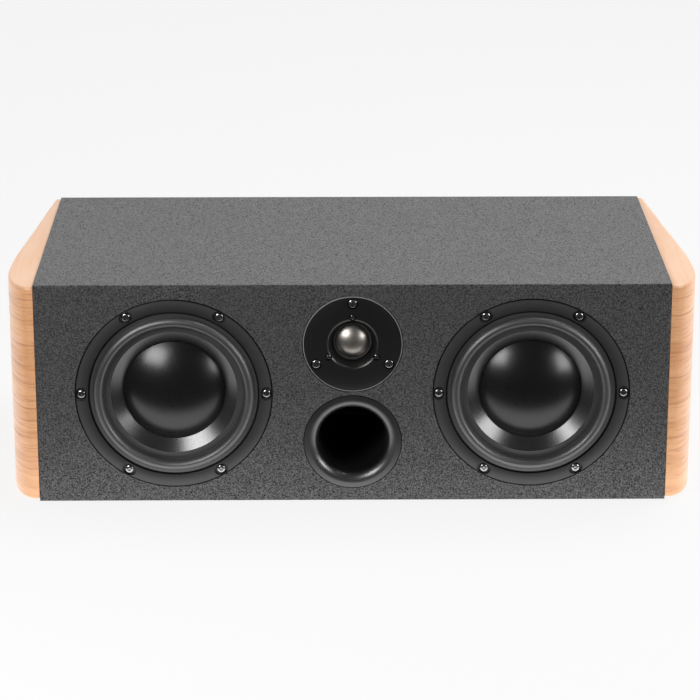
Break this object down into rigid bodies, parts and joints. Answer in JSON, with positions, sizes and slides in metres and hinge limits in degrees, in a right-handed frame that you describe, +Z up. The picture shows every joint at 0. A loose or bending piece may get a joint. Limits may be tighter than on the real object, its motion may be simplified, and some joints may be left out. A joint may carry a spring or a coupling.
{
  "type": "center channel speaker",
  "caption": "Wide low center channel speaker: textured black cabinet with curved wooden cheeks, woofers either side of a dome tweeter over a flared port.",
  "frame": {"origin": "under the middle of the base, on the surface that the speaker stands on", "axes": "+X along the width, +Y from the drivers to the back, +Z up"},
  "size_m": [0.635, 0.3096, 0.209],
  "materials": {
    "textured_black": "matte",
    "bare_board": "matte",
    "oiled_wood": "satin",
    "wadding": "matte",
    "frame_black": "satin",
    "surround_rubber": "satin",
    "cone_black": "satin",
    "cap_black": "satin",
    "spider_cloth": "matte",
    "coil_copper": "gloss",
    "plate_steel": "satin",
    "ferrite": "matte",
    "screw_black": "gloss",
    "gasket_rubber": "matte",
    "faceplate_black": "satin",
    "dome_metal": "polished",
    "tweeter_roll": "matte",
    "port_black": "satin",
    "cup_black": "satin",
    "post_gold": "gloss",
    "knob_red": "satin",
    "knob_black": "satin",
    "board_green": "satin",
    "spacer_nylon": "matte",
    "capacitor_film": "satin",
    "resistor_cement": "matte",
    "lead_insulation": "matte"
  },
  "bodies": {
    "root": {"binding_post_black": "post_gold", "binding_post_red": "post_gold", "bottom_panel": "textured_black", "crossover_board": "board_green", "crossover_capacitors": "capacitor_film", "crossover_coils": "coil_copper", "crossover_resistors": "resistor_cement", "crossover_spacers": "spacer_nylon", "damping_wadding_left": "wadding", "damping_wadding_right": "wadding", "front_baffle": "textured_black", "port_tube": "port_black", "post_nuts": "post_gold", "rear_panel": "textured_black", "side_cheek_left": "oiled_wood", "side_cheek_right": "oiled_wood", "side_panel_left": "textured_black", "side_panel_right": "textured_black", "speaker_wiring": "lead_insulation", "terminal_cup": "cup_black", "terminal_cup_screws": "screw_black", "top_panel": "textured_black", "tweeter_faceplate": "faceplate_black", "tweeter_gasket": "gasket_rubber", "tweeter_magnet": "ferrite", "tweeter_mounting_screws": "screw_black", "tweeter_rim_screws": "screw_black", "tweeter_surround": "tweeter_roll", "tweeter_top_plate": "plate_steel", "tweeter_yoke": "plate_steel", "window_brace_left": "bare_board", "window_brace_right": "bare_board", "woofer_gaskets": "gasket_rubber", "woofer_left_frame": "frame_black", "woofer_left_magnet": "ferrite", "woofer_left_spider": "spider_cloth", "woofer_left_surround": "surround_rubber", "woofer_left_top_plate": "plate_steel", "woofer_left_yoke": "plate_steel", "woofer_right_frame": "frame_black", "woofer_right_magnet": "ferrite", "woofer_right_spider": "spider_cloth", "woofer_right_surround": "surround_rubber", "woofer_right_top_plate": "plate_steel", "woofer_right_yoke": "plate_steel", "woofer_screws": "screw_black", "woofer_terminals": "spacer_nylon"},
    "woofer_left_diaphragm": {"woofer_left_cone": "cone_black", "woofer_left_dust_cap": "cap_black", "woofer_left_voice_coil": "coil_copper"},
    "woofer_right_diaphragm": {"woofer_right_cone": "cone_black", "woofer_right_dust_cap": "cap_black", "woofer_right_voice_coil": "coil_copper"},
    "tweeter_diaphragm": {"tweeter_dome": "dome_metal", "tweeter_voice_coil": "coil_copper"},
    "collar_red": {"post_collar_red": "post_gold"},
    "collar_black": {"post_collar_black": "post_gold"},
    "knob_red": {"post_knob_red": "knob_red"},
    "knob_black": {"post_knob_black": "knob_black"}
  },
  "joints": [
    {"name": "woofer_left_travel", "type": "slide", "parent": "root", "child": "woofer_left_diaphragm", "axis": [0, -1, 0], "range_m": [-0.005, 0.005], "stiffness_N_per_m": 1000, "deforming": ["woofer_left_surround", "woofer_left_spider"]},
    {"name": "woofer_right_travel", "type": "slide", "parent": "root", "child": "woofer_right_diaphragm", "axis": [0, -1, 0], "range_m": [-0.005, 0.005], "stiffness_N_per_m": 1000, "deforming": ["woofer_right_surround", "woofer_right_spider"]},
    {"name": "tweeter_travel", "type": "slide", "parent": "root", "child": "tweeter_diaphragm", "axis": [0, -1, 0], "range_m": [-0.0003, 0.0003], "stiffness_N_per_m": 500, "deforming": ["tweeter_surround"]},
    {"name": "collar_red_slide", "type": "slide", "parent": "root", "child": "collar_red", "axis": [0, 1, 0], "range_m": [0, 0.00375]},
    {"name": "knob_red_turn", "type": "hinge", "parent": "collar_red", "child": "knob_red", "pos_m": [0.019, 0.1275, 0.1045], "axis": [0, 1, 0], "range_deg": [0, 1080]},
    {"name": "collar_black_slide", "type": "slide", "parent": "root", "child": "collar_black", "axis": [0, 1, 0], "range_m": [0, 0.00375]},
    {"name": "knob_black_turn", "type": "hinge", "parent": "collar_black", "child": "knob_black", "pos_m": [-0.019, 0.1275, 0.1045], "axis": [0, 1, 0], "range_deg": [0, 1080]}
  ],
  "couplings": [
    {"joint": "knob_red_turn", "follows": "collar_red_slide", "rad_per_m": 5026.5},
    {"joint": "knob_black_turn", "follows": "collar_black_slide", "rad_per_m": 5026.5}
  ]
}
